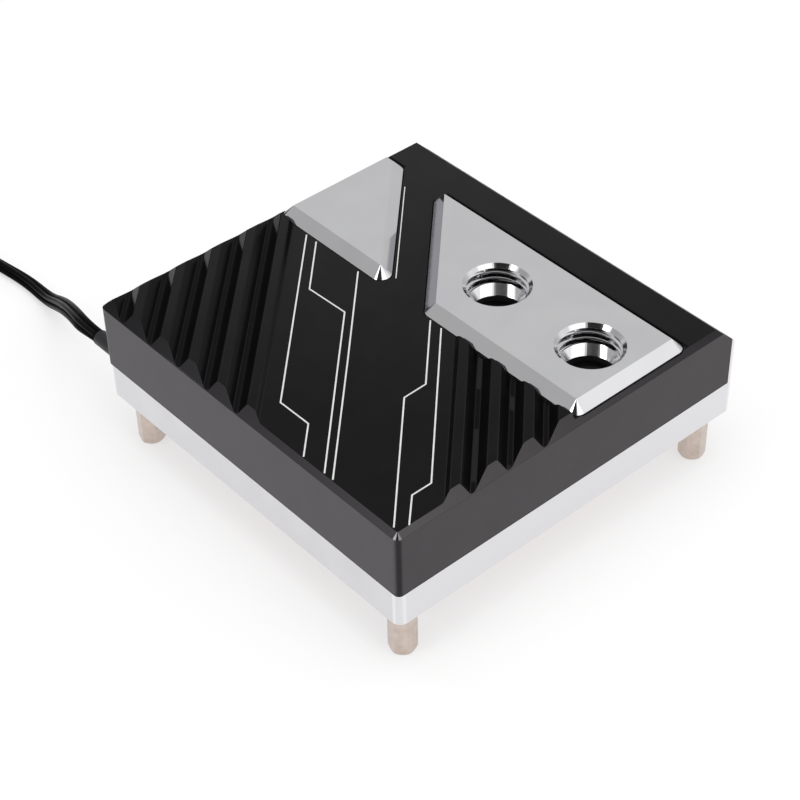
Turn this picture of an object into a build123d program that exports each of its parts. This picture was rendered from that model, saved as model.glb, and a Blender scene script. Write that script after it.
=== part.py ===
from build123d import *
from math import cos, pi, radians, sqrt, tan
import os

# A water cooling block for a computer's processor, with a lead for the lights inside it.
# Units are millimetres. The origin is under the middle of the block, at the tips of its posts.
# +Z is up. The photograph's nearest corner is -X -Y, the metal rear wall is +X, and the lead leaves +Y.

# Base frame
block_side = 88.0
base_height = 8.0
base_corner_r = 2.0
base_edge_break = 0.4
rear_wall = 2.1
base_rim = 14.0
window_corner_r = 3.2
ledge_width = 2.0
ledge_height = 1.5

# Mounting posts
post_inset = 5.0
post_length = 12.0
post_flats = 4.85
post_turn = 15.0
post_tip_inset = 0.15
post_stud_r = 2.0
post_stud_length = 5.6
post_hole_r = 1.5
post_hole_depth = 8.0

# Cover
cover_height = 15.05
cover_wall = 2.5
cover_corner_r = 1.2
cover_edge_chamfer = 1.05
cover_rear_chamfer = 3.85
pocket_roof = 2.5
cavity_corner_r = 2.0
cover_boss_side = 7.0
cover_boss_y = 20.0

# Waves cut across the cover at 45 degrees
wave_pitch = 6.3
crest_width = 1.65
valley_width = 0.75
crest_rise = 1.0
valley_drop = 0.9
wave_round = 0.8
left_crest_offset = 28.7
right_crest_offset = 9.4

# Bright plates let into the cover
plate_left = 0.25
rear_shelf = 8.1
plate_rise = 2.15
plate_bevel = 2.15
pocket_depth = 1.55
port_diagonal = -1.96
badge_diagonal = 8.1

# Coolant ports, G1/4
port_spacing = 25.3
port_inset = 11.15
port_major_r = 6.58
thread_height = 0.78
thread_depth = 4.8
mouth_chamfer = 0.32
flow_hole_r = 4.8
port_boss_r = 9.0
port_boss_reach = 2.35

# Cold plate
pad_drop = 1.2
pad_edge = 0.5
flange_thickness = 1.5
fin_block = 28.0
fin_pitch = 1.0
fin_thickness = 0.5
fin_height = 3.0

# Jet parts over the fins
jet_overhang = 1.0
jet_plate_thickness = 0.5
jet_gasket_thickness = 1.5
jet_slit = 1.6

# Channels in the flow body
manifold_side = 5.0
manifold_end = 8.5
manifold_corner_r = 4.0
plenum_inset = 1.0
plenum_width = 5.0
channel_width = 7.0
channel_floor = 1.5
channel_roof = 1.5

# Seals
plate_seal_inset = 3.0
plate_seal_width = 1.3
plate_seal_corner = 5.0
port_seal_step = 1.3
port_seal_height = 1.5

# Cover screws, M3
screw_r = 1.5
screw_head_r = 2.75
screw_head_height = 2.4
screw_key = 2.5
screw_key_depth = 1.1
screw_reach = 7.0

# Lights
light_slot_length = 56.0
light_slot_width = 5.0
board_overlap = 0.5
board_thickness = 1.0
board_inset = 4.0
chip_length = 3.5
chip_width = 2.8
chip_height = 1.4
chip_count = 6
ribbon_width = 2.2
ribbon_height = 1.1
ribbon_bend = 2.6

# Lead
wire_bundle_r = 1.45
bundle_sides = 8
sleeve_r = 1.65
sleeve_rise = 0.7
sleeve_inset = 2.8
sleeve_inside = 2.0
sleeve_outside = 6.5
sleeve_straight = 5.0
coil_centre = (-50.0, 128.0)
coil_turn_r = 16.0
coil_rows = 2
tie_width = 3.0
tie_thickness = 0.5
connector_length = 14.0
connector_width = 10.6
connector_height = 3.0
connector_edge = 0.3
contact_pitch = 2.54
contact_count = 4
contact_side = 1.5
contact_wall = 0.2
contact_length = 10.0
contact_setback = 3.0
contact_floor = 2.0

# Clearances
fit_gap = 0.05
thread_gap = 0.03
hole_end_gap = 0.4
screw_gap = 0.2
plate_gap = 0.25
window_gap = 0.2
seal_gap = 0.05
guide_gap = 0.1
chip_gap = 0.2
board_gap = 1.0
sleeve_gap = 0.1
tie_gap = 0.2
floor_gap = 0.1

# How far a cutting shape runs past what it cuts
over = 1.0

# Levels that follow from the sizes above
half = block_side / 2
base_bottom = post_length
base_top = base_bottom + base_height
flat_top = base_top + cover_height
crest_top = flat_top + crest_rise
valley_floor = flat_top - valley_drop
wall_top = flat_top - cover_edge_chamfer
rear_top = flat_top - cover_rear_chamfer
plate_surface = flat_top + plate_rise
pocket_floor = flat_top - pocket_depth
cavity_top = pocket_floor - pocket_roof
body_top = cavity_top - fit_gap
boss_seat = body_top - port_boss_reach
port_seal_floor = boss_seat - port_seal_height
ledge_top = base_bottom + ledge_height
cold_bottom = base_bottom - pad_drop
cold_top = ledge_top + flange_thickness
fin_ceiling = cold_top + fin_height + jet_plate_thickness + jet_gasket_thickness
sleeve_z = base_top + sleeve_rise

# Places that follow
cover_rear_x = half - rear_wall - fit_gap
cavity_left = -half + cover_wall
cavity_right = cover_rear_x - cover_wall
cavity_side = half - cover_wall
plate_right = cover_rear_x - cover_rear_chamfer - rear_shelf
plate_side_y = half - cover_edge_chamfer
port_x = (plate_left + plate_right) / 2
outlet_y = -plate_side_y + port_inset
inlet_y = outlet_y + port_spacing
ports = [(port_x, inlet_y), (port_x, outlet_y)]
post_reach = half - post_inset
post_points = [(x * post_reach, y * post_reach) for x in (-1, 1) for y in (-1, 1)]
screw_left_x = cavity_left + cover_boss_side / 2
screw_right_x = cavity_right - cover_boss_side / 2
cover_screw_points = [(x, y) for x in (screw_left_x, screw_right_x) for y in (-cover_boss_y, cover_boss_y)]
board_y = cavity_side - board_inset
board_width = light_slot_width + 2 * board_overlap
board_length = light_slot_length + 2 * board_overlap
sleeve_x = -half + sleeve_inset
sleeve_start_y = cavity_side - sleeve_inside
sleeve_end_y = half + sleeve_outside

# Sizes that follow
window_side = block_side - 2 * base_rim
wave_side = (wave_pitch - crest_width - valley_width) / 2
left_crests = int((sqrt(2) * half - left_crest_offset) / wave_pitch) + 1
right_crests = int((half / sqrt(2) - right_crest_offset) / wave_pitch) + 1
fin_count = int(fin_block / fin_pitch)
jet_side = fin_block + 2 * jet_overhang
plenum_length = fin_block - 2 * plenum_inset
channel_bottom = fin_ceiling + channel_floor
channel_top = port_seal_floor - channel_roof
outlet_drop_y = -(fin_block + manifold_end) / 2
bundle_corner_r = wire_bundle_r / cos(pi / bundle_sides)
coil_lift = floor_gap + tie_thickness + tie_gap
coil_low_z = coil_lift + wire_bundle_r
coil_outer_turn = coil_turn_r + (coil_rows - 1) * wire_bundle_r
coil_edge_r = coil_outer_turn + wire_bundle_r + fit_gap
connector_z = connector_height / 2 + floor_gap


def block(x0, x1, y0, y1, z0, z1):
    """A box between two corners."""
    return Pos((x0 + x1) / 2, (y0 + y1) / 2, (z0 + z1) / 2) * Box(x1 - x0, y1 - y0, z1 - z0)


def rounded(x0, x1, y0, y1, radius):
    """A rectangle with round corners, between two corners."""
    return Pos((x0 + x1) / 2, (y0 + y1) / 2) * RectangleRounded(x1 - x0, y1 - y0, radius)


def slab(sketch, z0, z1):
    """A flat sketch made solid between two heights."""
    return extrude(Pos(0, 0, z0) * sketch, amount=z1 - z0)


def rod(x, y, radius, z0, z1):
    """An upright cylinder between two heights."""
    return Pos(x, y, (z0 + z1) / 2) * Cylinder(radius, z1 - z0)


def cone(x, y, low_r, high_r, z0, z1):
    """An upright cone between two heights."""
    return Pos(x, y, (z0 + z1) / 2) * Cone(low_r, high_r, z1 - z0)


def rod_along_y(x, z, radius, y0, y1):
    """A level cylinder along Y between two places."""
    return Pos(x, y0, z) * Rot(-90, 0, 0) * Cylinder(
        radius, y1 - y0, align=(Align.CENTER, Align.CENTER, Align.MIN)
    )


# Base frame


def window_outline(grow):
    """The base's window in plan, grown all round."""
    side = window_side + 2 * grow
    return RectangleRounded(side, side, window_corner_r + grow)


def rear_wall_slope():
    """What the rear wall loses on top, so that it goes on from the cover's 45 degree rear edge."""
    reach = rear_wall + over
    side_view = Polyline(
        (half - rear_wall, rear_top),
        (half + over, rear_top - reach),
        (half + over, rear_top + over),
        (half - rear_wall, rear_top + over),
        close=True,
    )
    return extrude(Plane.XZ * make_face(side_view), amount=half + over, both=True)


def base_frame():
    """The bright metal base, one piece with its rear wall, with a ledge that carries the cold plate."""
    body = slab(rounded(-half, half, -half, half, base_corner_r), base_bottom, rear_top)
    body -= block(-half - over, half - rear_wall, -half - over, half + over, base_top, rear_top + over)
    body -= rear_wall_slope()
    body = chamfer(body.faces().sort_by(Axis.Z)[0].edges(), base_edge_break)
    body -= slab(window_outline(0), base_bottom - over, base_top + over)
    body -= slab(window_outline(ledge_width), ledge_top, base_top + over)
    slot = Pos(0, board_y) * SlotOverall(light_slot_length, light_slot_width)
    body -= slab(slot, base_bottom - over, base_top + over)
    for x, y in post_points:
        hole_end = base_bottom + post_stud_length + hole_end_gap
        body -= rod(x, y, post_stud_r + thread_gap, base_bottom - over, hole_end)
    for x, y in cover_screw_points:
        head_top = base_bottom + screw_gap + screw_head_height
        body -= rod(x, y, screw_r + screw_gap, base_bottom - over, base_top + over)
        body -= rod(x, y, screw_head_r + screw_gap, base_bottom - over, head_top)
    return body - sleeve_bore()


def mounting_posts():
    """Four hexagonal posts with turned tips, each screwed into the base and tapped from below."""
    tip_r = post_flats / 2 - post_tip_inset
    post = slab(RegularPolygon(post_flats / 2, 6, major_radius=False, rotation=post_turn), 0, base_bottom)
    post &= cone(0, 0, tip_r, tip_r + base_bottom, 0, base_bottom)
    post += rod(0, 0, post_stud_r, base_bottom, base_bottom + post_stud_length)
    post -= rod(0, 0, post_hole_r, -over, post_hole_depth)
    return Compound(children=[Pos(x, y) * post for x, y in post_points])


# Cover


def cover_plan():
    """The cover in plan: round corners at the front and square ones against the rear wall."""
    plan = Pos((cover_rear_x - half) / 2, 0) * Rectangle(cover_rear_x + half, block_side)
    return fillet([v for v in plan.vertices() if v.X < 0], cover_corner_r)


def front_corner_cut(side):
    """What a front corner loses, so that its 45 degree edge goes round it as a cone."""
    x = -half + cover_corner_r
    y = side * (half - cover_corner_r)
    y0, y1 = sorted((y, side * (half + over)))
    corner = block(-half - over, x, y0, y1, wall_top, wall_top + cover_corner_r)
    return corner - cone(x, y, cover_corner_r, 0, wall_top, wall_top + cover_corner_r)


def cover_envelope():
    """The cover's outside before its waves: walls, 45 degree edges and upright corners."""
    rise = crest_top - wall_top
    side_view = Polyline(
        (-half, base_top),
        (cover_rear_x, base_top),
        (cover_rear_x, rear_top),
        (cover_rear_x - (crest_top - rear_top), crest_top),
        (-half + rise, crest_top),
        (-half, wall_top),
        close=True,
    )
    end_view = Polyline(
        (-half, base_top),
        (half, base_top),
        (half, wall_top),
        (half - rise, crest_top),
        (-half + rise, crest_top),
        (-half, wall_top),
        close=True,
    )
    along_y = extrude(Plane.XZ * make_face(side_view), amount=half, both=True)
    along_x = extrude(Plane.YZ * make_face(end_view), amount=half, both=True)
    envelope = slab(cover_plan(), base_top, crest_top) & along_y & along_x
    return envelope - front_corner_cut(-1) - front_corner_cut(1)


def wave_profile(reach, ceiling):
    """The space above the waves, seen along the grooves: crests on both sides of a flat middle.

    The outermost crest on the right runs on level, as far as the tip of the port plate.
    """
    half_crest = crest_width / 2
    to_flat = wave_side * crest_rise / (crest_rise + valley_drop)
    points = [(-reach, ceiling), (-reach, crest_top)]
    for number in reversed(range(right_crests)):
        middle = -right_crest_offset - number * wave_pitch
        if number < right_crests - 1:
            points.append((middle - half_crest - wave_side, valley_floor))
            points.append((middle - half_crest, crest_top))
        points.append((middle + half_crest, crest_top))
        if number:
            points.append((middle + half_crest + wave_side, valley_floor))
        else:
            points.append((middle + half_crest + to_flat, flat_top))
    for number in range(left_crests):
        middle = left_crest_offset + number * wave_pitch
        if number:
            points.append((middle - half_crest - wave_side, valley_floor))
        else:
            points.append((middle - half_crest - to_flat, flat_top))
        points.append((middle - half_crest, crest_top))
        points.append((middle + half_crest, crest_top))
        points.append((middle + half_crest + wave_side, valley_floor))
    points += [(reach, valley_floor), (reach, ceiling)]
    face = make_face(Polyline(*points, close=True))
    bends = [v for v in face.vertices() if abs(v.X) < reach - over]
    return fillet(bends, wave_round)


def wave_cutter():
    """What the cover loses on top: waves up to the plates, and a flat beyond."""
    reach = block_side
    ceiling = crest_top + over
    grooves = Plane(origin=(0, 0, 0), x_dir=(-1, 1, 0), z_dir=(1, 1, 0))
    waves = extrude(grooves * wave_profile(reach, ceiling), amount=reach, both=True)
    border = plate_left - plate_gap
    waves &= block(-half - over, border, -half - over, half + over, valley_floor - over, ceiling + over)
    flat = block(border, half + over, -half - over, half + over, flat_top, ceiling)
    return waves + flat


def port_outline():
    """The port plate's outline: two ports between the front edge and the diagonal channel."""
    return make_face(
        Polyline(
            (plate_left, -plate_side_y),
            (plate_right, -plate_side_y),
            (plate_right, plate_right + port_diagonal),
            (plate_left, plate_left + port_diagonal),
            close=True,
        )
    )


def badge_outline():
    """The bare plate's outline: a triangle on the far side of the diagonal channel."""
    return make_face(
        Polyline(
            (plate_left, plate_left + badge_diagonal),
            (plate_right, plate_right + badge_diagonal),
            (plate_right, plate_side_y),
            (plate_left, plate_side_y),
            close=True,
        )
    )


def plate_sketch(outline):
    """A plate's outline with its corners rounded as wide as the bevel, so the bevel ends in a cone."""
    return fillet(outline.vertices(), plate_bevel + fit_gap)


def boss_shape(x, y, grow):
    """One screw boss of the cover in plan, from the nearest side wall inwards."""
    reach = cover_boss_side / 2 + grow
    wall_x = cavity_left - over if x < 0 else cavity_right + over
    x0, x1 = sorted((wall_x, x + reach if x < 0 else x - reach))
    return Pos((x0 + x1) / 2, y) * Rectangle(x1 - x0, 2 * reach)


def sleeve_bore():
    """The round way out for the lead's sleeve, partly in the base and partly in the cover's wall."""
    return rod_along_y(sleeve_x, sleeve_z, sleeve_r + sleeve_gap, sleeve_start_y - sleeve_gap, half + over)


def sleeve_passage():
    """The notch in the cover's wall, open to the base, that the lead's sleeve goes through."""
    y0 = sleeve_start_y - sleeve_gap
    radius = sleeve_r + sleeve_gap
    notch = block(sleeve_x - radius, sleeve_x + radius, y0, half + over, base_top - over, sleeve_z)
    return sleeve_bore() + notch


def top_cover():
    """The black cover, hollow below, with waves, two plate pockets and four screw bosses."""
    cover = cover_envelope() - wave_cutter()
    cavity = rounded(cavity_left, cavity_right, -cavity_side, cavity_side, cavity_corner_r)
    for x, y in cover_screw_points:
        cavity -= boss_shape(x, y, 0)
    cover -= slab(cavity, base_top - over, cavity_top)
    for outline in (port_outline(), badge_outline()):
        cover -= slab(offset(plate_sketch(outline), plate_gap), pocket_floor - fit_gap, crest_top + over)
    for x, y in ports:
        cover -= rod(x, y, port_boss_r + fit_gap, boss_seat, pocket_floor + over)
    for x, y in cover_screw_points:
        hole_end = base_top + screw_reach + hole_end_gap
        cover -= rod(x, y, screw_r + thread_gap, base_top - over, hole_end)
    return cover - sleeve_passage()


# Bright plates


def bevelled_plate(outline):
    """A plate from the pocket's floor up, with a wide bevel round its top."""
    plate = slab(plate_sketch(outline), pocket_floor, plate_surface)
    return chamfer(plate.faces().sort_by(Axis.Z)[-1].edges(), plate_bevel)


def port_plate():
    """The port plate, one piece with the two bosses that seal on the flow body."""
    plate = bevelled_plate(port_outline())
    mouth_z = plate_surface - mouth_chamfer
    thread_end = plate_surface - thread_depth
    for x, y in ports:
        plate += rod(x, y, port_boss_r, boss_seat, pocket_floor)
        plate -= cone(x, y, port_major_r, port_major_r + mouth_chamfer, mouth_z, plate_surface)
        plate -= rod(x, y, port_major_r, thread_end, mouth_z)
        plate -= rod(x, y, port_major_r - thread_height, boss_seat - over, thread_end)
    return plate


def badge_plate():
    """The bare plate, bonded into its pocket."""
    return bevelled_plate(badge_outline())


# Flow body


def seal_ring(width, top):
    """The square ring with cut corners round the fins that the seal and its groove share."""
    side = window_side + 2 * (ledge_width - plate_seal_inset) + width
    outer = chamfer(Rectangle(side, side).vertices(), plate_seal_corner)
    return slab(outer - offset(outer, -width, kind=Kind.INTERSECTION), cold_top, top)


def channel(y0, y1, z0):
    """A channel along Y under the ports, up from a height."""
    reach = channel_width / 2
    return block(port_x - reach, port_x + reach, y0, y1, z0, channel_top)


def flow_body():
    """The plastic body that leads the coolant to the fins and back, and presses the cold plate down."""
    rear_y = board_y - board_width / 2 - board_gap
    outline = rounded(
        cavity_left + fit_gap, cavity_right - fit_gap, -cavity_side + fit_gap, rear_y, cavity_corner_r
    )
    for x, y in cover_screw_points:
        outline -= boss_shape(x, y, fit_gap)
    body = slab(outline, base_top, body_top)
    body += slab(window_outline(ledge_width - window_gap), cold_top, base_top)
    pocket_x = fin_block + 2 * manifold_side
    pocket_y = fin_block + 2 * manifold_end
    body -= slab(RectangleRounded(pocket_x, pocket_y, manifold_corner_r), cold_top - over, fin_ceiling)
    body -= slab(Rectangle(plenum_length, plenum_width), fin_ceiling - over, channel_top)
    reach = plenum_width / 2
    body -= block(0, port_x, -reach, reach, channel_bottom, channel_top)
    body -= channel(inlet_y, reach, channel_bottom)
    body -= channel(outlet_y, outlet_drop_y, channel_bottom)
    body -= channel(outlet_drop_y - reach, outlet_drop_y + reach, fin_ceiling - over)
    for x, y in ports:
        body -= rod(x, y, flow_hole_r, channel_bottom, body_top)
        body -= rod(x, y, port_boss_r + fit_gap, port_seal_floor, body_top + over)
    groove_top = cold_top + plate_seal_width + seal_gap
    return body - seal_ring(plate_seal_width + 2 * seal_gap, groove_top)


def port_seals():
    """Two rubber rings between the ports' bosses and the flow body."""
    section = Circle(port_boss_r) - Circle(flow_hole_r + port_seal_step)
    ring = slab(section, port_seal_floor, boss_seat)
    return Compound(children=[Pos(x, y) * ring for x, y in ports])


def cold_plate_seal():
    """The rubber seal round the fins."""
    return seal_ring(plate_seal_width, cold_top + plate_seal_width)


def jet_sheet(thickness, slit, z):
    """A thin square sheet over the fins with a slit for the coolant."""
    return slab(Rectangle(jet_side, jet_side) - Rectangle(plenum_length, slit), z, z + thickness)


def jet_plate():
    """The steel jet plate that lies on the fins."""
    return jet_sheet(jet_plate_thickness, jet_slit, cold_top + fin_height)


def jet_gasket():
    """The rubber sheet that presses the jet plate on the fins and closes the plenum's sides."""
    return jet_sheet(jet_gasket_thickness, plenum_width, fin_ceiling - jet_gasket_thickness)


def cold_plate():
    """The copper cold plate: a pad through the window, a flange on the ledge and a row of fine fins."""
    plate = slab(window_outline(-window_gap), cold_bottom, ledge_top)
    plate = chamfer(plate.faces().sort_by(Axis.Z)[0].edges(), pad_edge)
    plate += slab(window_outline(ledge_width - window_gap), ledge_top, cold_top)
    first_x = -(fin_count - 1) * fin_pitch / 2
    for number in range(fin_count):
        x = first_x + number * fin_pitch
        plate += block(
            x - fin_thickness / 2, x + fin_thickness / 2, -fin_block / 2, fin_block / 2, cold_top,
            cold_top + fin_height,
        )
    return plate


# Screws


def cover_screws():
    """Four cap screws that hold the cover down on the base, and the cold plate between them."""
    head_z = base_bottom + screw_gap
    neck_z = head_z + screw_head_height
    screw = rod(0, 0, screw_head_r, head_z, neck_z)
    screw += rod(0, 0, screw_r, neck_z, base_top + screw_reach)
    key = RegularPolygon(screw_key / 2, 6, major_radius=False)
    screw -= slab(key, head_z - over, head_z + screw_key_depth)
    return Compound(children=[Pos(x, y) * screw for x, y in cover_screw_points])


# Lights


def led_board():
    """The strip of circuit board that lies over the light slot."""
    return Pos(0, board_y, base_top + board_thickness / 2) * Box(board_length, board_width, board_thickness)


def led_chips():
    """The light chips under the board, facing down into the slot."""
    pitch = light_slot_length / chip_count
    chip = Pos(0, board_y, base_top - chip_height / 2) * Box(chip_length, chip_width, chip_height)
    return Compound(children=[Pos((n - (chip_count - 1) / 2) * pitch) * chip for n in range(chip_count)])


def light_guide():
    """The clear bar that fills the slot and lets the light out under the block."""
    length = light_slot_length - 2 * guide_gap
    width = light_slot_width - 2 * guide_gap
    return slab(Pos(0, board_y) * SlotOverall(length, width), base_bottom, base_top - chip_height - chip_gap)


def board_wires():
    """The lead's conductors inside the cover, side by side in a flat band from the sleeve to the board."""
    reach = ribbon_width / 2
    z0 = sleeve_z - ribbon_height / 2
    z1 = sleeve_z + ribbon_height / 2
    bend_y = sleeve_start_y - ribbon_bend
    board_end = -board_length / 2 - floor_gap
    band_x = max(sleeve_x, cavity_left + reach + sleeve_gap)
    band = block(band_x - reach, band_x + reach, bend_y - reach, sleeve_start_y, z0, z1)
    return band + block(band_x - reach, board_end, bend_y - reach, bend_y + reach, z0, z1)


# Lead


def arc_radii(route):
    """As large an arc at each point of a route as its two runs allow."""
    runs = [Vector(*b) - Vector(*a) for a, b in zip(route, route[1:])]
    radii = []
    for before, after in zip(runs, runs[1:]):
        turn = radians(before.get_angle(after))
        radii.append(0.45 * min(before.length, after.length) / tan(turn / 2))
    return radii


def coil_meeting_y():
    """Where a lead that runs along Y first touches the coil's outer edge."""
    ahead = sqrt(coil_edge_r**2 - (coil_outer_turn - bundle_corner_r) ** 2) + fit_gap
    return coil_centre[1] - ahead


def lead_route():
    """The lead from its sleeve down to the surface and along it to the coil."""
    return [
        (sleeve_x, sleeve_end_y, sleeve_z),
        (sleeve_x, sleeve_end_y + sleeve_straight, sleeve_z),
        (-39.1, 62.8, 18.0),
        (-36.3, 70.8, 13.8),
        (-33.2, 79.2, 8.3),
        (-30.7, 88.5, 3.3),
        (-29.9, 98.5, coil_low_z),
        (-31.6, 108.5, coil_low_z),
        (coil_centre[0] + coil_outer_turn, coil_meeting_y(), coil_low_z),
    ]


def tail_route():
    """The lead from the coil's top row down to the connector."""
    exit_x = coil_centre[0] - coil_outer_turn
    start_y = coil_meeting_y()
    z = coil_low_z + (coil_rows - 1) * 2 * wire_bundle_r
    return [
        (exit_x, start_y, z),
        (exit_x + 0.1, start_y - 6.0, z - 0.6),
        (exit_x + 0.9, start_y - 12.0, connector_z),
        (exit_x + 2.1, start_y - 17.0, connector_z),
    ]


def lead_tube(name, route):
    """A stretch of the lead: four wires two by two, as one tube with eight sides."""
    radii = arc_radii(route)
    path = FilletPolyline(*route, radius=radii)
    bundle = RegularPolygon(wire_bundle_r, bundle_sides, major_radius=False)
    solid = sweep(Plane(origin=path @ 0, z_dir=path % 0) * bundle, path=path)
    print(name, "length", round(path.length, 1), "radii", [round(r, 1) for r in radii])
    print(name, "volume", round(solid.volume, 1), "section times length", round(bundle.area * path.length, 1))
    return solid


def lead_sleeve():
    """The shrunk sleeve that the wires leave the block in."""
    return rod_along_y(sleeve_x, sleeve_z, sleeve_r, sleeve_start_y, sleeve_end_y)


def coil_section(grow):
    """The coil's square section, grown all round."""
    side = 2 * (coil_rows * wire_bundle_r + fit_gap + grow)
    return Rectangle(side, side)


def lead_coil():
    """The put-away length of the lead, as the outer shape of its coil."""
    middle_z = coil_lift + coil_rows * wire_bundle_r
    ring = revolve(Plane.XZ * Pos(coil_turn_r, middle_z) * coil_section(0), Axis.Z)
    return Pos(*coil_centre) * ring


def coil_tie():
    """The strap round the coil."""
    middle_z = coil_lift + coil_rows * wire_bundle_r
    strap = coil_section(tie_gap + tie_thickness) - coil_section(tie_gap)
    loop = extrude(Plane.YZ * strap, amount=tie_width / 2, both=True)
    return Pos(coil_centre[0], coil_centre[1] + coil_turn_r, middle_z) * loop


def connector_place():
    """The connector's place: its rear face on the end of the lead, lying flat."""
    before, end = [Vector(*p) for p in tail_route()[-2:]]
    along = Vector(end.X - before.X, end.Y - before.Y, 0)
    turn = Vector(1, 0, 0).get_signed_angle(along, Vector(0, 0, 1))
    return Pos(end.X, end.Y, connector_z) * Rot(0, 0, turn)


def bar_along_x(length, width, height):
    """A bar from the plane X = 0 forwards, centred on the X axis."""
    return Box(length, width, height, align=(Align.MIN, Align.CENTER, Align.CENTER))


def contact_rows():
    """The contacts' places across the connector."""
    return [(n - (contact_count - 1) / 2) * contact_pitch for n in range(contact_count)]


def connector_housing():
    """The four-way connector's housing, with a square hole for each contact."""
    body = bar_along_x(connector_length, connector_width, connector_height)
    body = chamfer(body.faces().sort_by(Axis.X)[-1].edges(), connector_edge)
    hole_side = contact_side + 2 * fit_gap
    for y in contact_rows():
        body -= Pos(contact_setback, y, 0) * bar_along_x(connector_length, hole_side, hole_side)
    return connector_place() * body


def connector_contacts():
    """Four square spring sleeves in the housing."""
    inside = contact_side - 2 * contact_wall
    sleeve = bar_along_x(contact_length, contact_side, contact_side)
    sleeve -= Pos(contact_floor, 0, 0) * bar_along_x(contact_length, inside, inside)
    frame = connector_place()
    return Compound(children=[frame * Pos(contact_setback + fit_gap, y, 0) * sleeve for y in contact_rows()])


parts = {
    "base_frame": base_frame(),
    "mounting_posts": mounting_posts(),
    "top_cover": top_cover(),
    "port_plate": port_plate(),
    "badge_plate": badge_plate(),
    "cover_screws": cover_screws(),
    "flow_body": flow_body(),
    "port_seals": port_seals(),
    "cold_plate_seal": cold_plate_seal(),
    "jet_gasket": jet_gasket(),
    "jet_plate": jet_plate(),
    "cold_plate": cold_plate(),
    "led_board": led_board(),
    "led_chips": led_chips(),
    "light_guide": light_guide(),
    "board_wires": board_wires(),
    "lead_sleeve": lead_sleeve(),
    "lead_wires": lead_tube("lead_wires", lead_route()),
    "lead_coil": lead_coil(),
    "lead_tail": lead_tube("lead_tail", tail_route()),
    "coil_tie": coil_tie(),
    "connector_housing": connector_housing(),
    "connector_contacts": connector_contacts(),
}

os.makedirs("parts", exist_ok=True)
for name, shape in parts.items():
    export_step(shape, f"parts/{name}.step")
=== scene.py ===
import math

import bmesh
import bpy
from mathutils import Matrix, Vector


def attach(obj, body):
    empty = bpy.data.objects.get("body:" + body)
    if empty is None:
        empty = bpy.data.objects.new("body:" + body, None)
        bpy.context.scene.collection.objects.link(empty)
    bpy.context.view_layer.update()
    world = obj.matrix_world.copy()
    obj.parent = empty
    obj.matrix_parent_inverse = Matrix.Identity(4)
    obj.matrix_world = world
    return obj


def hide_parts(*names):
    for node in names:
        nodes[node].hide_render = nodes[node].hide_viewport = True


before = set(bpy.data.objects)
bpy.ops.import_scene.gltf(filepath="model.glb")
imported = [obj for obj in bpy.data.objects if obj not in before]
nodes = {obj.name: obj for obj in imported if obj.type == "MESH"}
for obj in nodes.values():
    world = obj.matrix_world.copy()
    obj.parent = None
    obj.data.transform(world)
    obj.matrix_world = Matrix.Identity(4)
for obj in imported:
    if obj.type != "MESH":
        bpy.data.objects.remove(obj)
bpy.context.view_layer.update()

# A scene round the solids of a water cooling block. Numbers are millimetres unless a comment says
# otherwise, in the part's own axes: +Z is up, the photograph's nearest corner is -X -Y, the metal
# rear wall is +X, and the lead leaves +Y.

MM = 0.001

# Heights and places of the solids, as in the part's source
BASE_TOP = 20.0
WALL_TOP = 34.0
FLAT_TOP = 35.05
PLATE_SURFACE = 37.2
PLATE_RIGHT = 29.9
PORTS = [(15.075, -6.5), (15.075, -31.8)]

# Threads in the ports. The start and the end are depths below the plate's surface, the steps are
# those of one turn, and the ridge grows from the least share of its height over the fade's steps.
THREAD_MAJOR_R = 6.58
THREAD_MINOR_R = 5.86
THREAD_PITCH = 1.337
THREAD_START = 1.17
THREAD_END = 4.5
THREAD_START_TURN = math.radians(124)
THREAD_STEPS = 72
THREAD_FADE = 12
THREAD_LEAST = 0.02
THREAD_FOOT = 0.75
THREAD_TIP = 0.07
THREAD_TIP_SLANT = 0.04
THREAD_SINK = 0.03

# Countersinks above the threads. The lip and the shoulder are depths below the plate's surface,
# and the heel is a depth below the countersink's foot.
MOUTH_R = 6.88
MOUTH_FOOT = 36.46
MOUTH_LIP = 0.01
MOUTH_SHOULDER = 0.35
MOUTH_HEEL = 0.25

# Turned bores below the threads, and the flow body's rim below the bores. The collar rises above
# the first groove, and the hem lies outside the grooves' crests.
BORE_R = 5.77
BORE_TOP = 33.10
BORE_FOOT = 29.80
BORE_GROOVES = 12
BORE_GROOVE_DEPTH = 0.13
BORE_COLLAR = 0.3
BORE_HEM = 0.02
THROAT_FOOT = 28.62
RING_STEPS = 96

# Light lines on the cover, from the left to the right, and the short one beside the badge plate
LINES = [
    [(-0.28, 33.48), (-36.52, -3.04), (-36.44, -11.01), (-42.70, -17.27)],
    [(-0.30, 30.37), (-11.12, 19.40), (-10.70, 9.18), (-20.91, -1.09), (-42.70, -23.10)],
    [(-0.48, 17.17), (-19.64, -2.27), (-42.70, -25.40)],
    [(-0.22, -3.95), (-13.39, -17.30), (-18.83, -17.43), (-42.60, -41.63)],
    [(-0.28, -7.12), (-30.44, -37.76), (-34.96, -37.75), (-40.25, -42.95)],
]
BADGE_LINE = [(25.40, 32.45), (3.60, 10.45)]
LINE_WIDTH = 0.30
BADGE_LINE_WIDTH = 0.2
LINE_TOP = 0.03
LINE_DEPTH = 0.05
MITRE_LIMIT = 0.3

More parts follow.
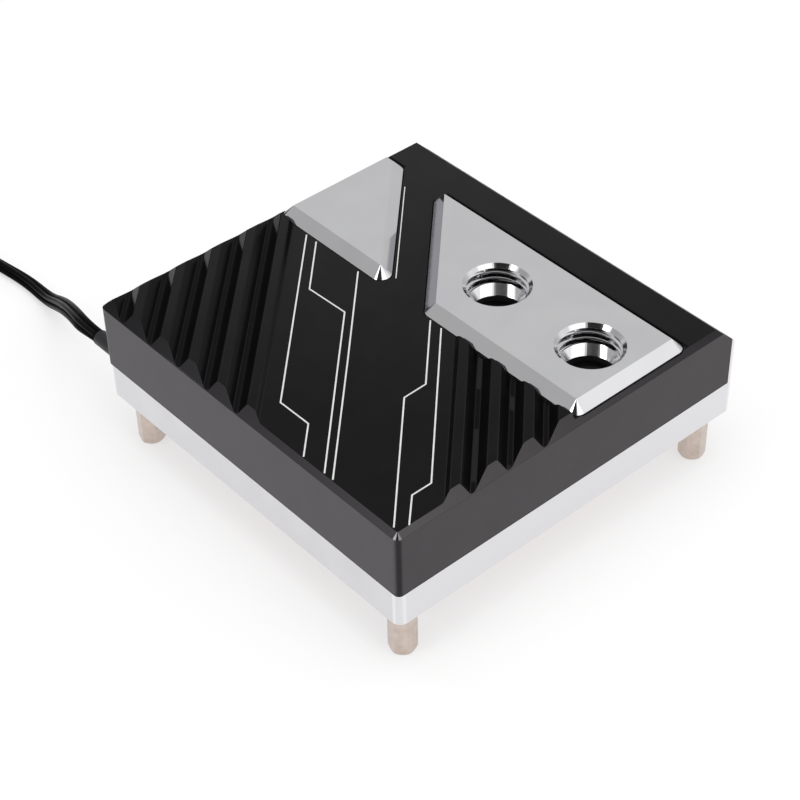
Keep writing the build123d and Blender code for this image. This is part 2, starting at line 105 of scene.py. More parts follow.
# Wires of the lead. They open over one run from the sleeve and close over a later one, and one of
# them lies looser than the others. The lay is the run of one full twist.
WIRE_COUNT = 4
WIRE_R = 0.60
WIRE_SIDES = 12
WIRE_OFFSET = 0.85
WIRE_SPREAD = 0.20
WIRE_OPENS = (0.0, 9.0)
WIRE_CLOSES = (28.0, 60.0)
LOOSE_WIRE = 2
LOOSE_WIRE_SPREAD = 0.45
WIRE_LAY = 240.0
WIRE_LAY_START = 42.0
WIRE_SIDE_AT_START = (0.735, 0.140, 0.664)

# Route of the lead, from the part's source: from the sleeve down to the coil, and from the coil to
# the connector. The fineness is the number of points between two control points.
ROUTE_OUT = [
    (-41.2, 50.5, 20.7),
    (-41.3, 56.0, 20.6),
    (-39.1, 62.8, 18.0),
    (-36.3, 70.8, 13.8),
    (-33.2, 79.2, 8.3),
    (-30.7, 88.5, 2.6),
    (-29.9, 98.5, 1.55),
    (-31.4, 108.5, 1.55),
    (-32.4, 117.6, 1.6),
]
ROUTE_END = [
    (-67.6, 124.5, 5.15),
    (-67.45, 117.6, 5.1),
    (-67.35, 111.6, 4.2),
    (-66.55, 105.6, 1.7),
    (-65.35, 100.61, 1.6),
]
ROUTE_FINENESS = 8

# Coil of the lead, with the degrees wound over which it changes from the outer ring to the inner
# one, rises to the upper layer and comes back to the outer ring
COIL_CENTRE = (-50.0, 128.0)
COIL_INNER = 14.55
COIL_OUTER = 17.45
COIL_LOW = 2.25
COIL_HIGH = 5.15
COIL_STEPS = 16
COIL_TURNS = 3.5
COIL_INWARD = (300, 350)
COIL_RISE = (600, 655)
COIL_OUTWARD = (905, 960)

# Floor: its side in metres, its colour, and how brightly it glows by itself
FLOOR_SIZE = 0.9
FLOOR_COLOUR = (0.40, 0.40, 0.40)
FLOOR_GLOW = 0.60

# The studio's brightness, and that in a few directions: direction, brightness, and the angles in
# degrees within which it is full and beyond which it ends
STUDIO_LEVEL = 0.64
STUDIO_PATCHES = [
    ((0.51, 0.58, 0.64), 0.58, 18, 38),
    ((-0.64, 0.58, 0.51), 0.42, 18, 34),
    ((0.51, -0.64, 0.58), 0.89, 16, 34),
    ((0.0, 0.0, 1.0), 0.08, 16, 30),
    ((0.10, 1.0, 0.0), 0.03, 12, 22),
    ((1.0, 0.10, 0.05), 0.55, 18, 34),
    ((-0.728, 0.182, 0.666), 1.3, 9, 12),
    ((0.045, -0.693, 0.723), 1.3, 17, 22),
    ((-0.725, 0.140, 0.675), 4.8, 4, 8),
    ((-0.540, -0.298, 0.787), 0.025, 16.5, 20.5),
]

# The lamp's place, aim and size in metres, and its power in watts
LAMP_PLACE = (-0.08, -0.07, 0.80)
LAMP_AIM = (0, 0, 0.02)
LAMP_POWER = 4.0
LAMP_SIZE = 0.7

# The photograph's camera, from lines measured in it. The clipping distances are metres.
CAMERA_PLACE = (-206.0, -235.9, 287.0)
CAMERA_YAW = math.radians(49.571)
CAMERA_PITCH = math.radians(41.275)
CAMERA_ROLL = math.radians(1.424)
CAMERA_LENS = 93.4
CAMERA_SENSOR = 36
CAMERA_CLIP = (0.01, 50)


def place_mesh(name, points, faces, smooth=False):
    """A mesh piece from points in millimetres, riding on the block."""
    mesh = bpy.data.meshes.new(name)
    mesh.from_pydata([tuple(c * MM for c in p) for p in points], [], faces)
    mesh.validate()
    work = bmesh.new()
    work.from_mesh(mesh)
    bmesh.ops.recalc_face_normals(work, faces=work.faces)
    work.to_mesh(mesh)
    work.free()
    for face in mesh.polygons:
        face.use_smooth = smooth
    piece = bpy.data.objects.new(name, mesh)
    bpy.context.collection.objects.link(piece)
    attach(piece, "root")
    return piece


# Materials

# Where nearly all of a noise's values lie
NOISE_SPAN = (0.3, 0.7)

# Inputs and output of a mix node, by what it mixes
MIX_SOCKETS = {"FLOAT": (0, 2, 3, 0), "RGBA": (0, 6, 7, 2)}


class Nodes:
    """A node tree that is built by short calls."""

    def __init__(self, tree):
        self.tree = tree

    def node(self, kind, **settings):
        made = self.tree.nodes.new(kind)
        for key, value in settings.items():
            setattr(made, key, value)
        return made

    def link(self, output, target):
        self.tree.links.new(output, target)

    def put(self, value, socket):
        """Links an output to a socket, or sets the socket to a plain number or colour."""
        if isinstance(value, bpy.types.NodeSocket):
            self.link(value, socket)
        else:
            socket.default_value = (*value, 1.0) if isinstance(value, tuple) else value

    def math(self, operation, *values):
        made = self.node("ShaderNodeMath", operation=operation)
        for socket, value in zip(made.inputs, values):
            self.put(value, socket)
        return made.outputs[0]

    def mix(self, factor, first, second, kind="FLOAT"):
        """A number between two, or with kind RGBA a colour between two."""
        made = self.node("ShaderNodeMix", data_type=kind)
        *inputs, output = MIX_SOCKETS[kind]
        for socket, value in zip(inputs, (factor, first, second)):
            self.put(value, made.inputs[socket])
        return made.outputs[output]


class Finish(Nodes):
    """A procedural material around one Principled shader, with places in millimetres."""

    def __init__(self, name, **constants):
        self.material = bpy.data.materials.new(name)
        self.material.use_nodes = True
        super().__init__(self.material.node_tree)
        self.shader = self.tree.nodes["Principled BSDF"]
        for socket, value in constants.items():
            self.shader.inputs[socket.replace("_", " ")].default_value = value
        coordinates = self.node("ShaderNodeTexCoord")
        self.normal = coordinates.outputs["Normal"]
        scale = self.node("ShaderNodeVectorMath", operation="SCALE")
        scale.inputs["Scale"].default_value = 1 / MM
        self.link(coordinates.outputs["Object"], scale.inputs[0])
        self.place = scale.outputs["Vector"]

    def parts(self, vector):
        """The X, Y and Z of a vector."""
        split = self.node("ShaderNodeSeparateXYZ")
        self.link(vector, split.inputs[0])
        return tuple(split.outputs)

    def facing(self, axis):
        """How far the surface's own normal lies along one axis, 0 to 1."""
        return self.math("ABSOLUTE", self.parts(self.normal)["XYZ".index(axis)])

    def stretched(self, factors):
        """Places scaled along each axis, for a brushed or drawn grain."""
        mapping = self.node("ShaderNodeMapping")
        mapping.inputs["Scale"].default_value = factors
        self.link(self.place, mapping.inputs["Vector"])
        return mapping.outputs["Vector"]

    def noise(self, size, detail=4.0, place=None):
        """Noise whose lumps are about this many millimetres across."""
        made = self.node("ShaderNodeTexNoise")
        made.inputs["Scale"].default_value = 1 / size
        made.inputs["Detail"].default_value = detail
        self.link(place or self.place, made.inputs["Vector"])
        return made.outputs["Fac"]

    def spread(self, value, low, high, span=NOISE_SPAN):
        """A value that runs over a span, carried over to low to high and held beyond it."""
        made = self.node("ShaderNodeMapRange")
        sockets = ("Value", "From Min", "From Max", "To Min", "To Max")
        for socket, given in zip(sockets, (value, *span, low, high)):
            self.put(given, made.inputs[socket])
        return made.outputs["Result"]

    def rise(self, value, span=NOISE_SPAN):
        """0 before a span and 1 after it."""
        return self.spread(value, 0.0, 1.0, span)

    def fall(self, value, span):
        """1 before a span and 0 after it."""
        return self.spread(value, 1.0, 0.0, span)

    def within(self, value, low, high, soft=0.15):
        """1 between low and high, fading to 0 just past them."""
        above = self.rise(value, (low - soft, low))
        below = self.fall(value, (high, high + soft))
        return self.math("MULTIPLY", above, below)

    def blend(self, factor, first, second):
        """A colour between two, each an output or a plain colour."""
        return self.mix(factor, first, second, "RGBA")

    def colour(self, output):
        self.link(output, self.shader.inputs["Base Color"])

    def roughness(self, output):
        self.link(output, self.shader.inputs["Roughness"])

    def bump(self, height, depth):
        """Relief of this depth in millimetres."""
        made = self.node("ShaderNodeBump")
        made.inputs["Distance"].default_value = depth * MM
        self.link(height, made.inputs["Height"])
        self.link(made.outputs["Normal"], self.shader.inputs["Normal"])

    def on(self, *names):
        """Puts the material on CAD nodes or pieces."""
        for name in names:
            target = nodes[name] if isinstance(name, str) else name
            if not target.material_slots:
                target.data.materials.append(self.material)
            for place in target.material_slots:
                place.material = self.material
        return self


# How much coarser the noise in a plain finish's colour is than its grain
BROAD_GRAIN = 14


def plain_finish(name, dark, light, rough, grain, depth, stretch=None, **constants):
    """A finish with noise in its colour, its roughness and its relief."""
    made = Finish(name, **constants)
    fine = made.noise(grain, detail=5.0, place=made.stretched(stretch) if stretch else None)
    broad = made.noise(grain * BROAD_GRAIN, detail=3.0)
    made.colour(made.blend(made.rise(broad), dark, light))
    made.roughness(made.spread(fine, *rough))
    made.bump(fine, depth)
    return made


# Roughness of nickel where it is level and where it isn't
NICKEL_SATIN = (0.20, 0.27)
NICKEL_POLISH = (0.07, 0.11)

# Where nickel changes: its roughness with how level a face is, and its painted light and shade
# with how far it faces the front, how far an upright corner has turned, and how far a bevel faces
# the left and slants across the block
NICKEL_LEVEL = (0.98, 0.999)
NICKEL_FRONT = (0.3, 0.9)
NICKEL_TURN_STARTS = (0.08, 0.20)
NICKEL_TURN_ENDS = (0.34, 0.44)
NICKEL_LEFTWARD = (-0.4, -0.3)
NICKEL_SLANT = (-0.20, -0.08)


def nickel(name, dark, light, front=None, painted_corner_highlight=None, painted_bevel_shade=None):
    """Satin nickel plate, polished on the bevels, with painted light, highlights and shade on some
    faces.
    """
    made = Finish(name, Metallic=1.0)
    fine = made.noise(size=0.09)
    shade = made.blend(made.rise(made.noise(size=9.0, detail=2.0)), dark, light)
    # Painted light: faces that face the front are made lighter
    if front:
        shade = made.blend(made.rise(made.facing("Y"), NICKEL_FRONT), shade, front)
    # Painted highlights: a lighter band on each side of an upright corner's middle
    if painted_corner_highlight:
        turn = made.math("MULTIPLY", made.facing("X"), made.facing("Y"))
        starts = made.rise(turn, NICKEL_TURN_STARTS)
        ends = made.fall(turn, NICKEL_TURN_ENDS)
        shade = made.blend(made.math("MULTIPLY", starts, ends), shade, painted_corner_highlight)
    # Painted reflection: bevels that face the left and slant across the block are made darker
    if painted_bevel_shade:
        normal_x, normal_y, _ = made.parts(made.normal)
        leftward = made.fall(normal_x, NICKEL_LEFTWARD)
        slants = made.fall(made.math("MULTIPLY", normal_x, normal_y), NICKEL_SLANT)
        shade = made.blend(made.math("MULTIPLY", slants, leftward), shade, painted_bevel_shade)
    made.colour(shade)
    level = made.rise(made.facing("Z"), NICKEL_LEVEL)
    satin = made.spread(fine, *NICKEL_SATIN)
    polish = made.spread(fine, *NICKEL_POLISH)
    more = made.math("MULTIPLY", level, made.math("SUBTRACT", satin, polish))
    made.roughness(made.math("ADD", polish, more))
    made.bump(fine, depth=0.0006)
    return made


class CoverFinishAndPaintedLight(Finish):
    """Black anodising with painted light and shade: deep on top, greyer on the milled sides by
    their own finish and by painted light.
    """

    # The darkest and the lightest colour of each place. The far top's colour is a painted sheen,
    # the walls' grey is partly their own finish and partly painted light, and the deep colour and
    # the corners' colour are painted shade.
    NEAR_TOP = ((0.0056, 0.0056, 0.0060), (0.0073, 0.0073, 0.0077))
    FAR_TOP_PAINTED_SHEEN = ((0.0168, 0.0165, 0.0168), (0.0190, 0.0187, 0.0190))
    DEEP_PAINTED_SHADE = ((0.0024, 0.0024, 0.0026), (0.0036, 0.0036, 0.0038))
    LEFT_WALL_GREY_AND_PAINTED_LIGHT = ((0.128, 0.119, 0.129), (0.135, 0.126, 0.136))
    FRONT_WALL_GREY_AND_PAINTED_LIGHT = ((0.089, 0.083, 0.087), (0.095, 0.089, 0.093))
    CORNER_PAINTED_SHADE = ((0.034, 0.031, 0.035), (0.040, 0.037, 0.041))

    # An edge's painted light at the front corner and far from it, and the front corner's cone with
    # painted highlights on the front's side and on the left's side and a painted dark middle
    # between them
    LEFT_EDGE_PAINTED_LIGHT = ((0.063, 0.058, 0.063), (0.012, 0.012, 0.013))
    FRONT_EDGE_PAINTED_LIGHT = ((0.089, 0.083, 0.086), (0.022, 0.020, 0.022))
    CONE_PAINTED_HIGHLIGHTS = ((0.25, 0.24, 0.25), (0.46, 0.45, 0.46))
    CONE_PAINTED_DARK_MIDDLE = (0.012, 0.011, 0.012)

    # Painted shade in the valleys, painted glints in them, and a painted shadow line along the gap
    # behind the plates
    VALLEY_PAINTED_SHADE = (0.0014, 0.0014, 0.0015)
    VALLEY_PAINTED_GLINT = (0.0150, 0.0145, 0.0160)
    GAP_PAINTED_SHADOW = (0.0008, 0.0008, 0.0008)

    # Where the painted light and shade change along the cover: along X + Y on the top and on the
    # edges, along X - Y between the two fields of waves, up from the valleys, and at the walls'
    # rim and their foot, with how much of the darker painted shade is mixed in there
    TOP_RUN = (-44.0, 76.0)
    EDGE_RUN = (-88.0, 0.0)
    FIELDS = (-4.0, 4.0)
    VALLEY_RISE = (34.4, 34.8)
    RIM_REACH = (0.05, 0.16)
    RIM_SHARE = 0.25
    FOOT_REACH = (BASE_TOP + 0.12, BASE_TOP + 0.30)
    FOOT_SHARE = 0.7

    # Where the painted shadow line along the gap lies behind the port plate and behind the badge
    # plate, and how wide it is painted
    GAP_PORTS = (-42.7, 24.6)
    GAP_BADGE = (37.8, 42.7)
    GAP_WIDTH = 0.52

    # Where the painted light and shade change with the surface's normal: how level it is on an
    # edge, on a wave's flank and on the top, how far it faces a side, how far a corner has turned,
    # how far a flank slants across the cover, and where a corner's cone of painted highlights
    # begins, has its middle and changes its side
    EDGE_LEVEL = (0.3, 0.68)
    FLANK_LEVEL = (0.3, 0.6)
    TOP_LEVEL = (0.78, 0.93)
    SIDEWAYS = (0.3, 0.5)
    TURN = (0.03, 0.32)
    SLANT = (0.02, 0.22)
    CONE = (0.03, 0.08)
    CONE_CORE = (0.205, 0.235)
    CONE_CHANGE = (-0.1, 0.1)

    # Sizes of the noise in the shades, in the painted glints and in the grain, and where the
    # painted glints are cut
    SHADE_SIZE = 7.0
    GLINT_SIZE = 8.0
    GRAIN = 0.16
    GLINT_CUT = (0.53, 0.57)

    def __init__(self):
        super().__init__("black_anodised", Specular_IOR_Level=0.08)
        self.broad = self.rise(self.noise(self.SHADE_SIZE, detail=3.0))
        self.x, self.y, self.z = self.parts(self.place)
        self.from_corner = self.math("ADD", self.x, self.y)
        normal_x, normal_y, _ = self.parts(self.normal)
        self.diagonal = self.math("MULTIPLY", normal_x, normal_y)
        self.level = self.facing("Z")
        self.faces_x = self.rise(self.facing("X"), self.SIDEWAYS)
        # Painted shade where the corners turn and at the walls' rim
        self.corner = self.blend(self.broad, *self.CORNER_PAINTED_SHADE)
        # Painted shade on the waves' flanks and at the walls' foot
        self.deep = self.blend(self.broad, *self.DEEP_PAINTED_SHADE)
        shade = self.blend(self.rise(self.level, self.TOP_LEVEL), self.milled(), self.top())
        shade = self.blend(self.on_flanks(), shade, self.deep)
        # A painted shadow line along the gap behind the plates
        self.colour(self.blend(self.painted_gap_shadow_mask(), shade, self.GAP_PAINTED_SHADOW))
        fine = self.noise(self.GRAIN, detail=5.0)
        self.roughness(self.spread(fine, low=0.15, high=0.23))
        self.bump(fine, depth=0.0008)

    def top(self):
        """The top, with a painted sheen towards the far corner, and painted shade in the valleys
        with painted glints on the right.
        """
        near = self.blend(self.broad, *self.NEAR_TOP)
        # Painted sheen: the top grows lighter towards the far corner
        far = self.blend(self.broad, *self.FAR_TOP_PAINTED_SHEEN)
        flat = self.blend(self.rise(self.from_corner, self.TOP_RUN), near, far)
        # Painted shade in the valleys, with painted glints in those on the right
        painted_glint_spots = self.rise(self.noise(self.GLINT_SIZE, detail=0.0), self.GLINT_CUT)
        on_right = self.rise(self.math("SUBTRACT", self.x, self.y), self.FIELDS)
        valley = self.blend(self.math("MULTIPLY", painted_glint_spots, on_right), self.VALLEY_PAINTED_SHADE, self.VALLEY_PAINTED_GLINT)
        return self.blend(self.rise(self.z, self.VALLEY_RISE), valley, flat)

    def wall(self):
        """The upright walls, their grey partly their own finish and partly painted light, with
        painted shade where a corner turns.
        """
        # Painted light: the left wall is painted lighter than the front one
        front = self.blend(self.broad, *self.FRONT_WALL_GREY_AND_PAINTED_LIGHT)
        left = self.blend(self.broad, *self.LEFT_WALL_GREY_AND_PAINTED_LIGHT)
        turned = self.math("MULTIPLY", self.math("ABSOLUTE", self.diagonal), self.facing("Y"))
        flat = self.blend(self.faces_x, front, left)
        return self.blend(self.rise(turned, self.TURN), flat, self.corner)

    def edge(self):
        """The slanted edges, with painted light near the front corner, and the corners' cones with
        painted highlights.
        """
        # Painted light: the edges grow darker away from the front corner
        along = self.rise(self.from_corner, self.EDGE_RUN)
        front = self.blend(along, *self.FRONT_EDGE_PAINTED_LIGHT)
        left = self.blend(along, *self.LEFT_EDGE_PAINTED_LIGHT)
        straight = self.blend(self.faces_x, front, left)
        # Painted highlights on both sides of the front corner's cone, with a painted dark middle
        more_x = self.math("SUBTRACT", self.facing("X"), self.facing("Y"))
        sides = self.blend(self.rise(more_x, self.CONE_CHANGE), *self.CONE_PAINTED_HIGHLIGHTS)
        cone_painted_light = self.blend(self.rise(self.diagonal, self.CONE_CORE), sides, self.CONE_PAINTED_DARK_MIDDLE)
        return self.blend(self.rise(self.diagonal, self.CONE), straight, cone_painted_light)

    def milled(self):
        """Walls and edges, with a painted shade line at the walls' rim and another at their foot.
        """
        shade = self.blend(self.rise(self.level, self.EDGE_LEVEL), self.wall(), self.edge())
        from_rim = self.math("ABSOLUTE", self.math("SUBTRACT", self.z, WALL_TOP))
        rim_painted_shade = self.spread(from_rim, self.RIM_SHARE, 0.0, self.RIM_REACH)
        foot_painted_shade = self.spread(self.z, self.FOOT_SHARE, 0.0, self.FOOT_REACH)
        return self.blend(foot_painted_shade, self.blend(rim_painted_shade, shade, self.corner), self.deep)

    def on_flanks(self):
        """1 on the waves' flanks, which slant across the cover and are given a painted shade."""
        slants = self.rise(self.math("MULTIPLY", self.diagonal, -1.0), self.SLANT)
        return self.math("MULTIPLY", slants, self.rise(self.level, self.FLANK_LEVEL))

    def painted_gap_shadow_mask(self):
        """1 where a painted shadow line lies in and beside the gap behind the plates."""
        beside_ports = self.within(self.y, *self.GAP_PORTS)
        beside_badge = self.within(self.y, *self.GAP_BADGE)
        behind = self.within(self.x, PLATE_RIGHT, PLATE_RIGHT + self.GAP_WIDTH)
        return self.math("MULTIPLY", behind, self.math("MAXIMUM", beside_ports, beside_badge))


# Distance between the rings on the copper
LATHE_PITCH = 0.35


def copper():
    """Copper with the rings that a lathe leaves on the face that meets the processor."""
    made = Finish("copper", Metallic=1.0)
    flat = made.node("ShaderNodeVectorMath", operation="MULTIPLY")
    flat.inputs[1].default_value = (1.0, 1.0, 0.0)
    made.link(made.place, flat.inputs[0])
    length = made.node("ShaderNodeVectorMath", operation="LENGTH")
    made.link(flat.outputs["Vector"], length.inputs[0])
    turns = made.math("MULTIPLY", length.outputs["Value"], 2 * math.pi / LATHE_PITCH)
    broad = made.noise(size=6.0, detail=3.0)
    made.colour(made.blend(made.rise(broad), (0.83, 0.42, 0.27), (0.90, 0.50, 0.34)))
    made.roughness(made.spread(broad, low=0.16, high=0.26))
    made.bump(made.rise(made.math("SINE", turns), (-1.0, 1.0)), depth=0.002)
    return made


# Scale of the wave that the board's pads are cut from, and where it is cut
PAD_WAVES = 0.12
PAD_EDGE = (0.92, 0.94)


def circuit_board():
    """A white solder mask with rows of pads showing through."""
    made = Finish("circuit_board")
    fine = made.noise(size=0.3)
    waves = made.node("ShaderNodeTexWave", bands_direction="X")
    waves.inputs["Scale"].default_value = PAD_WAVES
    waves.inputs["Distortion"].default_value = 0.0
    made.link(made.place, waves.inputs["Vector"])
    pads = made.rise(waves.outputs["Fac"], PAD_EDGE)
    made.colour(made.blend(pads, (0.72, 0.74, 0.74), (0.62, 0.50, 0.26)))
    made.roughness(made.spread(fine, low=0.35, high=0.5))
    made.bump(fine, depth=0.004)
    return made


def clear_guide():
    """Frosted clear plastic."""
    made = Finish("light_guide", Transmission_Weight=0.85, IOR=1.49)
    fine = made.noise(size=0.15)
    made.colour(made.blend(made.rise(fine), (0.90, 0.93, 0.94), (0.97, 0.98, 0.98)))
    made.roughness(made.spread(fine, low=0.25, high=0.4))
    made.bump(fine, depth=0.004)
    return made


nickel(
    "plate_nickel",
    dark=(0.85, 0.85, 0.87),
    light=(0.89, 0.89, 0.905),
    # A painted darker reflection on the port plate's far bevel
    painted_bevel_shade=(0.475, 0.47, 0.505),
).on("port_plate", "badge_plate")
nickel(
    "base_nickel",
    dark=(0.66, 0.653, 0.675),
    light=(0.70, 0.693, 0.715),
    # Painted light on the front faces
    front=(0.735, 0.728, 0.748),
    # Painted highlights where the upright corners turn
    painted_corner_highlight=(0.81, 0.805, 0.82),
).on("base_frame")
CoverFinishAndPaintedLight().on("top_cover")
copper().on("cold_plate")
circuit_board().on("led_board")
clear_guide().on("light_guide")
plain_finish(
    "post_nickel",
    dark=(0.57, 0.475, 0.418),
    light=(0.65, 0.56, 0.50),
    rough=(0.20, 0.27),
    grain=0.10,
    depth=0.0006,
    stretch=(1.0, 1.0, 0.1),
    Metallic=1.0,
).on("mounting_posts")
plain_finish(
    "screw_steel",
    dark=(0.45, 0.45, 0.46),
    light=(0.60, 0.60, 0.61),
    rough=(0.22, 0.38),
    grain=0.15,
    depth=0.002,
    Metallic=1.0,
).on("cover_screws")
plain_finish(
    "jet_steel",
    dark=(0.50, 0.50, 0.50),
    light=(0.58, 0.58, 0.58),
    rough=(0.25, 0.4),
    grain=0.1,
    depth=0.001,
    stretch=(1.0, 0.1, 1.0),
    Metallic=1.0,
).on("jet_plate")
acetal = plain_finish(
    "black_acetal",
    dark=(0.018, 0.018, 0.019),
    light=(0.028, 0.028, 0.029),
    rough=(0.38, 0.52),
    grain=0.25,
    depth=0.004,
).on("flow_body")
plain_finish(
    "seal_rubber",
    dark=(0.012, 0.012, 0.012),
    light=(0.022, 0.022, 0.022),
    rough=(0.55, 0.75),
    grain=0.2,
    depth=0.006,
).on("port_seals", "cold_plate_seal", "jet_gasket")
plain_finish(
    "chip_resin",
    dark=(0.80, 0.72, 0.38),
    light=(0.86, 0.80, 0.50),
    rough=(0.2, 0.35),
    grain=0.3,
    depth=0.004,
).on("led_chips")
plain_finish(
    "shrunk_sleeve",
    dark=(0.013, 0.012, 0.014),
    light=(0.022, 0.020, 0.023),
    rough=(0.38, 0.55),
    grain=0.35,
    depth=0.012,
    stretch=(1.0, 0.35, 1.0),
).on("lead_sleeve")
plain_finish(
    "tie_nylon",
    dark=(0.012, 0.012, 0.013),
    light=(0.03, 0.03, 0.03),
    rough=(0.45, 0.7),
    grain=0.12,
    depth=0.02,
    stretch=(0.2, 1.0, 1.0),
).on("coil_tie")
plain_finish(
    "housing_nylon",
    dark=(0.014, 0.014, 0.015),
    light=(0.026, 0.026, 0.027),
    rough=(0.35, 0.5),
    grain=0.22,
    depth=0.006,
).on("connector_housing")
plain_finish(
    "contact_tin",
    dark=(0.62, 0.60, 0.56),
    light=(0.75, 0.73, 0.68),
    rough=(0.2, 0.35),
    grain=0.1,
    depth=0.001,
    Metallic=1.0,
).on("connector_contacts")
wire_skin = plain_finish(
    "wire_skin",
    dark=(0.003, 0.003, 0.0035),
    light=(0.006, 0.006, 0.0065),
    rough=(0.34, 0.44),
    grain=0.4,
    depth=0.003,
    Specular_IOR_Level=0.04,
).on("board_wires")
thread_metal = plain_finish(
    "thread_nickel",
    dark=(0.72, 0.72, 0.74),
    light=(0.82, 0.82, 0.83),
    rough=(0.06, 0.12),
    grain=0.2,
    depth=0.001,
    Metallic=1.0,
)
bore_metal = plain_finish(
    "bore_nickel",
    dark=(0.84, 0.84, 0.85),
    light=(0.90, 0.90, 0.90),
    rough=(0.07, 0.11),
    grain=0.2,
    depth=0.001,
    Metallic=1.0,
)
line_paint = plain_finish(
    "line_paint",
    dark=(0.68, 0.68, 0.67),
    light=(0.76, 0.76, 0.75),
    rough=(0.45, 0.6),
    grain=0.15,
    depth=0.002,
)


# Lead


def ease(value, span):
    """0 before a span, 1 after it, smooth between."""
    start, end = span
    share = min(max((value - start) / (end - start), 0.0), 1.0)
    return share * share * (3 - 2 * share)


def route_points():
    """The control points of the lead's route, with its coil wound by a loop."""
    points = list(ROUTE_OUT)
    widen = 1 / math.cos(math.pi / COIL_STEPS)
    for step in range(1, int(COIL_TURNS * COIL_STEPS)):
        angle = 360 * step / COIL_STEPS
        inward = ease(angle, COIL_INWARD) - ease(angle, COIL_OUTWARD)
        radius = (COIL_OUTER + (COIL_INNER - COIL_OUTER) * inward) * widen
        turn = math.radians(angle)
        x = COIL_CENTRE[0] + radius * math.cos(turn)
        y = COIL_CENTRE[1] + radius * math.sin(turn)
        points.append((x, y, COIL_LOW + (COIL_HIGH - COIL_LOW) * ease(angle, COIL_RISE)))
    return points + ROUTE_END


def smooth_path(points):
    """The points along the NURBS spline that has these control points, in millimetres."""
    curve = bpy.data.curves.new("lead_route", "CURVE")
    curve.dimensions = "3D"
    curve.resolution_u = ROUTE_FINENESS
    spline = curve.splines.new("NURBS")
    spline.points.add(len(points) - 1)
    for place, point in zip(spline.points, points):
        place.co = (*[c * MM for c in point], 1.0)
    spline.order_u = 3
    spline.use_endpoint_u = True
    holder = bpy.data.objects.new("lead_route", curve)
    bpy.context.collection.objects.link(holder)
    bpy.context.view_layer.update()
    line = bpy.data.meshes.new_from_object(holder)
    found = [vertex.co / MM for vertex in line.vertices]
    bpy.data.objects.remove(holder)
    bpy.data.meshes.remove(line)
    bpy.data.curves.remove(curve)
    return found


def carried_frames(path):
    """Two side directions at each point of a path, carried along it without twist."""
    frames = []
    side = Vector(WIRE_SIDE_AT_START)
    for number in range(len(path)):
        before = path[max(number - 1, 0)]
        after = path[min(number + 1, len(path) - 1)]
        along = (after - before).normalized()
        side = (side - along * side.dot(along)).normalized()
        frames.append((side.copy(), along.cross(side)))
    return frames


def lead_strands(path):
    """The thin wires, laid round the path with a slow twist."""
    points, faces = [], []
    sides = carried_frames(path)
    run = [0.0]
    for start, end in zip(path, path[1:]):
        run.append(run[-1] + (end - start).length)
    for wire in range(WIRE_COUNT):
        spread = LOOSE_WIRE_SPREAD if wire == LOOSE_WIRE else WIRE_SPREAD
        first = len(points)
        for centre, along, (up, across) in zip(path, run, sides):
            twist = max(along - WIRE_LAY_START, 0) / WIRE_LAY
            lay = 2 * math.pi * (twist + wire / WIRE_COUNT)
            loose = ease(along, WIRE_OPENS) - ease(along, WIRE_CLOSES)
            outward = up * math.cos(lay) + across * math.sin(lay)
            middle = centre + (WIRE_OFFSET + spread * loose) * outward
            for step in range(WIRE_SIDES):
                turn = 2 * math.pi * step / WIRE_SIDES
                points.append(middle + WIRE_R * (up * math.cos(turn) + across * math.sin(turn)))
        for row in range(len(path) - 1):
            low = first + row * WIRE_SIDES
            high = low + WIRE_SIDES
            for step in range(WIRE_SIDES):
                after = (step + 1) % WIRE_SIDES
                faces.append((low + step, low + after, high + after, high + step))
        last = first + (len(path) - 1) * WIRE_SIDES
        faces.append(tuple(range(first, first + WIRE_SIDES)))
        faces.append(tuple(range(last, last + WIRE_SIDES)))
    return place_mesh("lead_strands", points, faces, smooth=True)


lead_path = smooth_path(route_points())
lead = lead_strands(lead_path)
wire_skin.on(lead)
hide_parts("lead_wires", "lead_coil", "lead_tail")


# Threads, countersinks and bores of the ports


def port_thread(number, centre):
    """The ridge of one port's thread, wound down its wall."""
    turns = (THREAD_END - THREAD_START) / THREAD_PITCH
    count = int(turns * THREAD_STEPS)
    corners = 4
    points, faces = [], []
    for step in range(count + 1):
        angle = THREAD_START_TURN - 2 * math.pi * step / THREAD_STEPS
        depth = PLATE_SURFACE - THREAD_START - THREAD_PITCH * step / THREAD_STEPS
        size = min(1.0, min(step, count - step) / THREAD_FADE + THREAD_LEAST)
        tip_r = THREAD_MAJOR_R - (THREAD_MAJOR_R - THREAD_MINOR_R) * size
        for radius, z in (
            (THREAD_MAJOR_R + THREAD_SINK, depth + THREAD_FOOT / 2),
            (tip_r + THREAD_TIP_SLANT, depth + THREAD_TIP / 2),
            (tip_r, depth - THREAD_TIP / 2),
            (THREAD_MAJOR_R + THREAD_SINK, depth - THREAD_FOOT / 2),
        ):
            x = centre[0] + radius * math.cos(angle)
            y = centre[1] + radius * math.sin(angle)
            points.append((x, y, z))
    for step in range(count):
        low = corners * step
        high = low + corners
        for corner in range(corners):
            after = (corner + 1) % corners
            faces.append((low + corner, low + after, high + after, high + corner))
    faces.append(tuple(range(corners)))
    faces.append(tuple(range(corners * count, corners * (count + 1))))
    return place_mesh(f"port_thread_{number}", points, faces)


def turned(name, centre, outline, slot):
    """A ring turned from an outline of radii and heights."""
    points, faces = [], []
    for radius, z in outline:
        for step in range(RING_STEPS):
            angle = 2 * math.pi * step / RING_STEPS
            x = centre[0] + radius * math.cos(angle)
            y = centre[1] + radius * math.sin(angle)
            points.append((x, y, z))
    for row in range(len(outline)):
        low = row * RING_STEPS
        high = (row + 1) % len(outline) * RING_STEPS
        for step in range(RING_STEPS):
            after = (step + 1) % RING_STEPS
            faces.append((low + step, low + after, high + after, high + step))
    return place_mesh(name, points, faces)


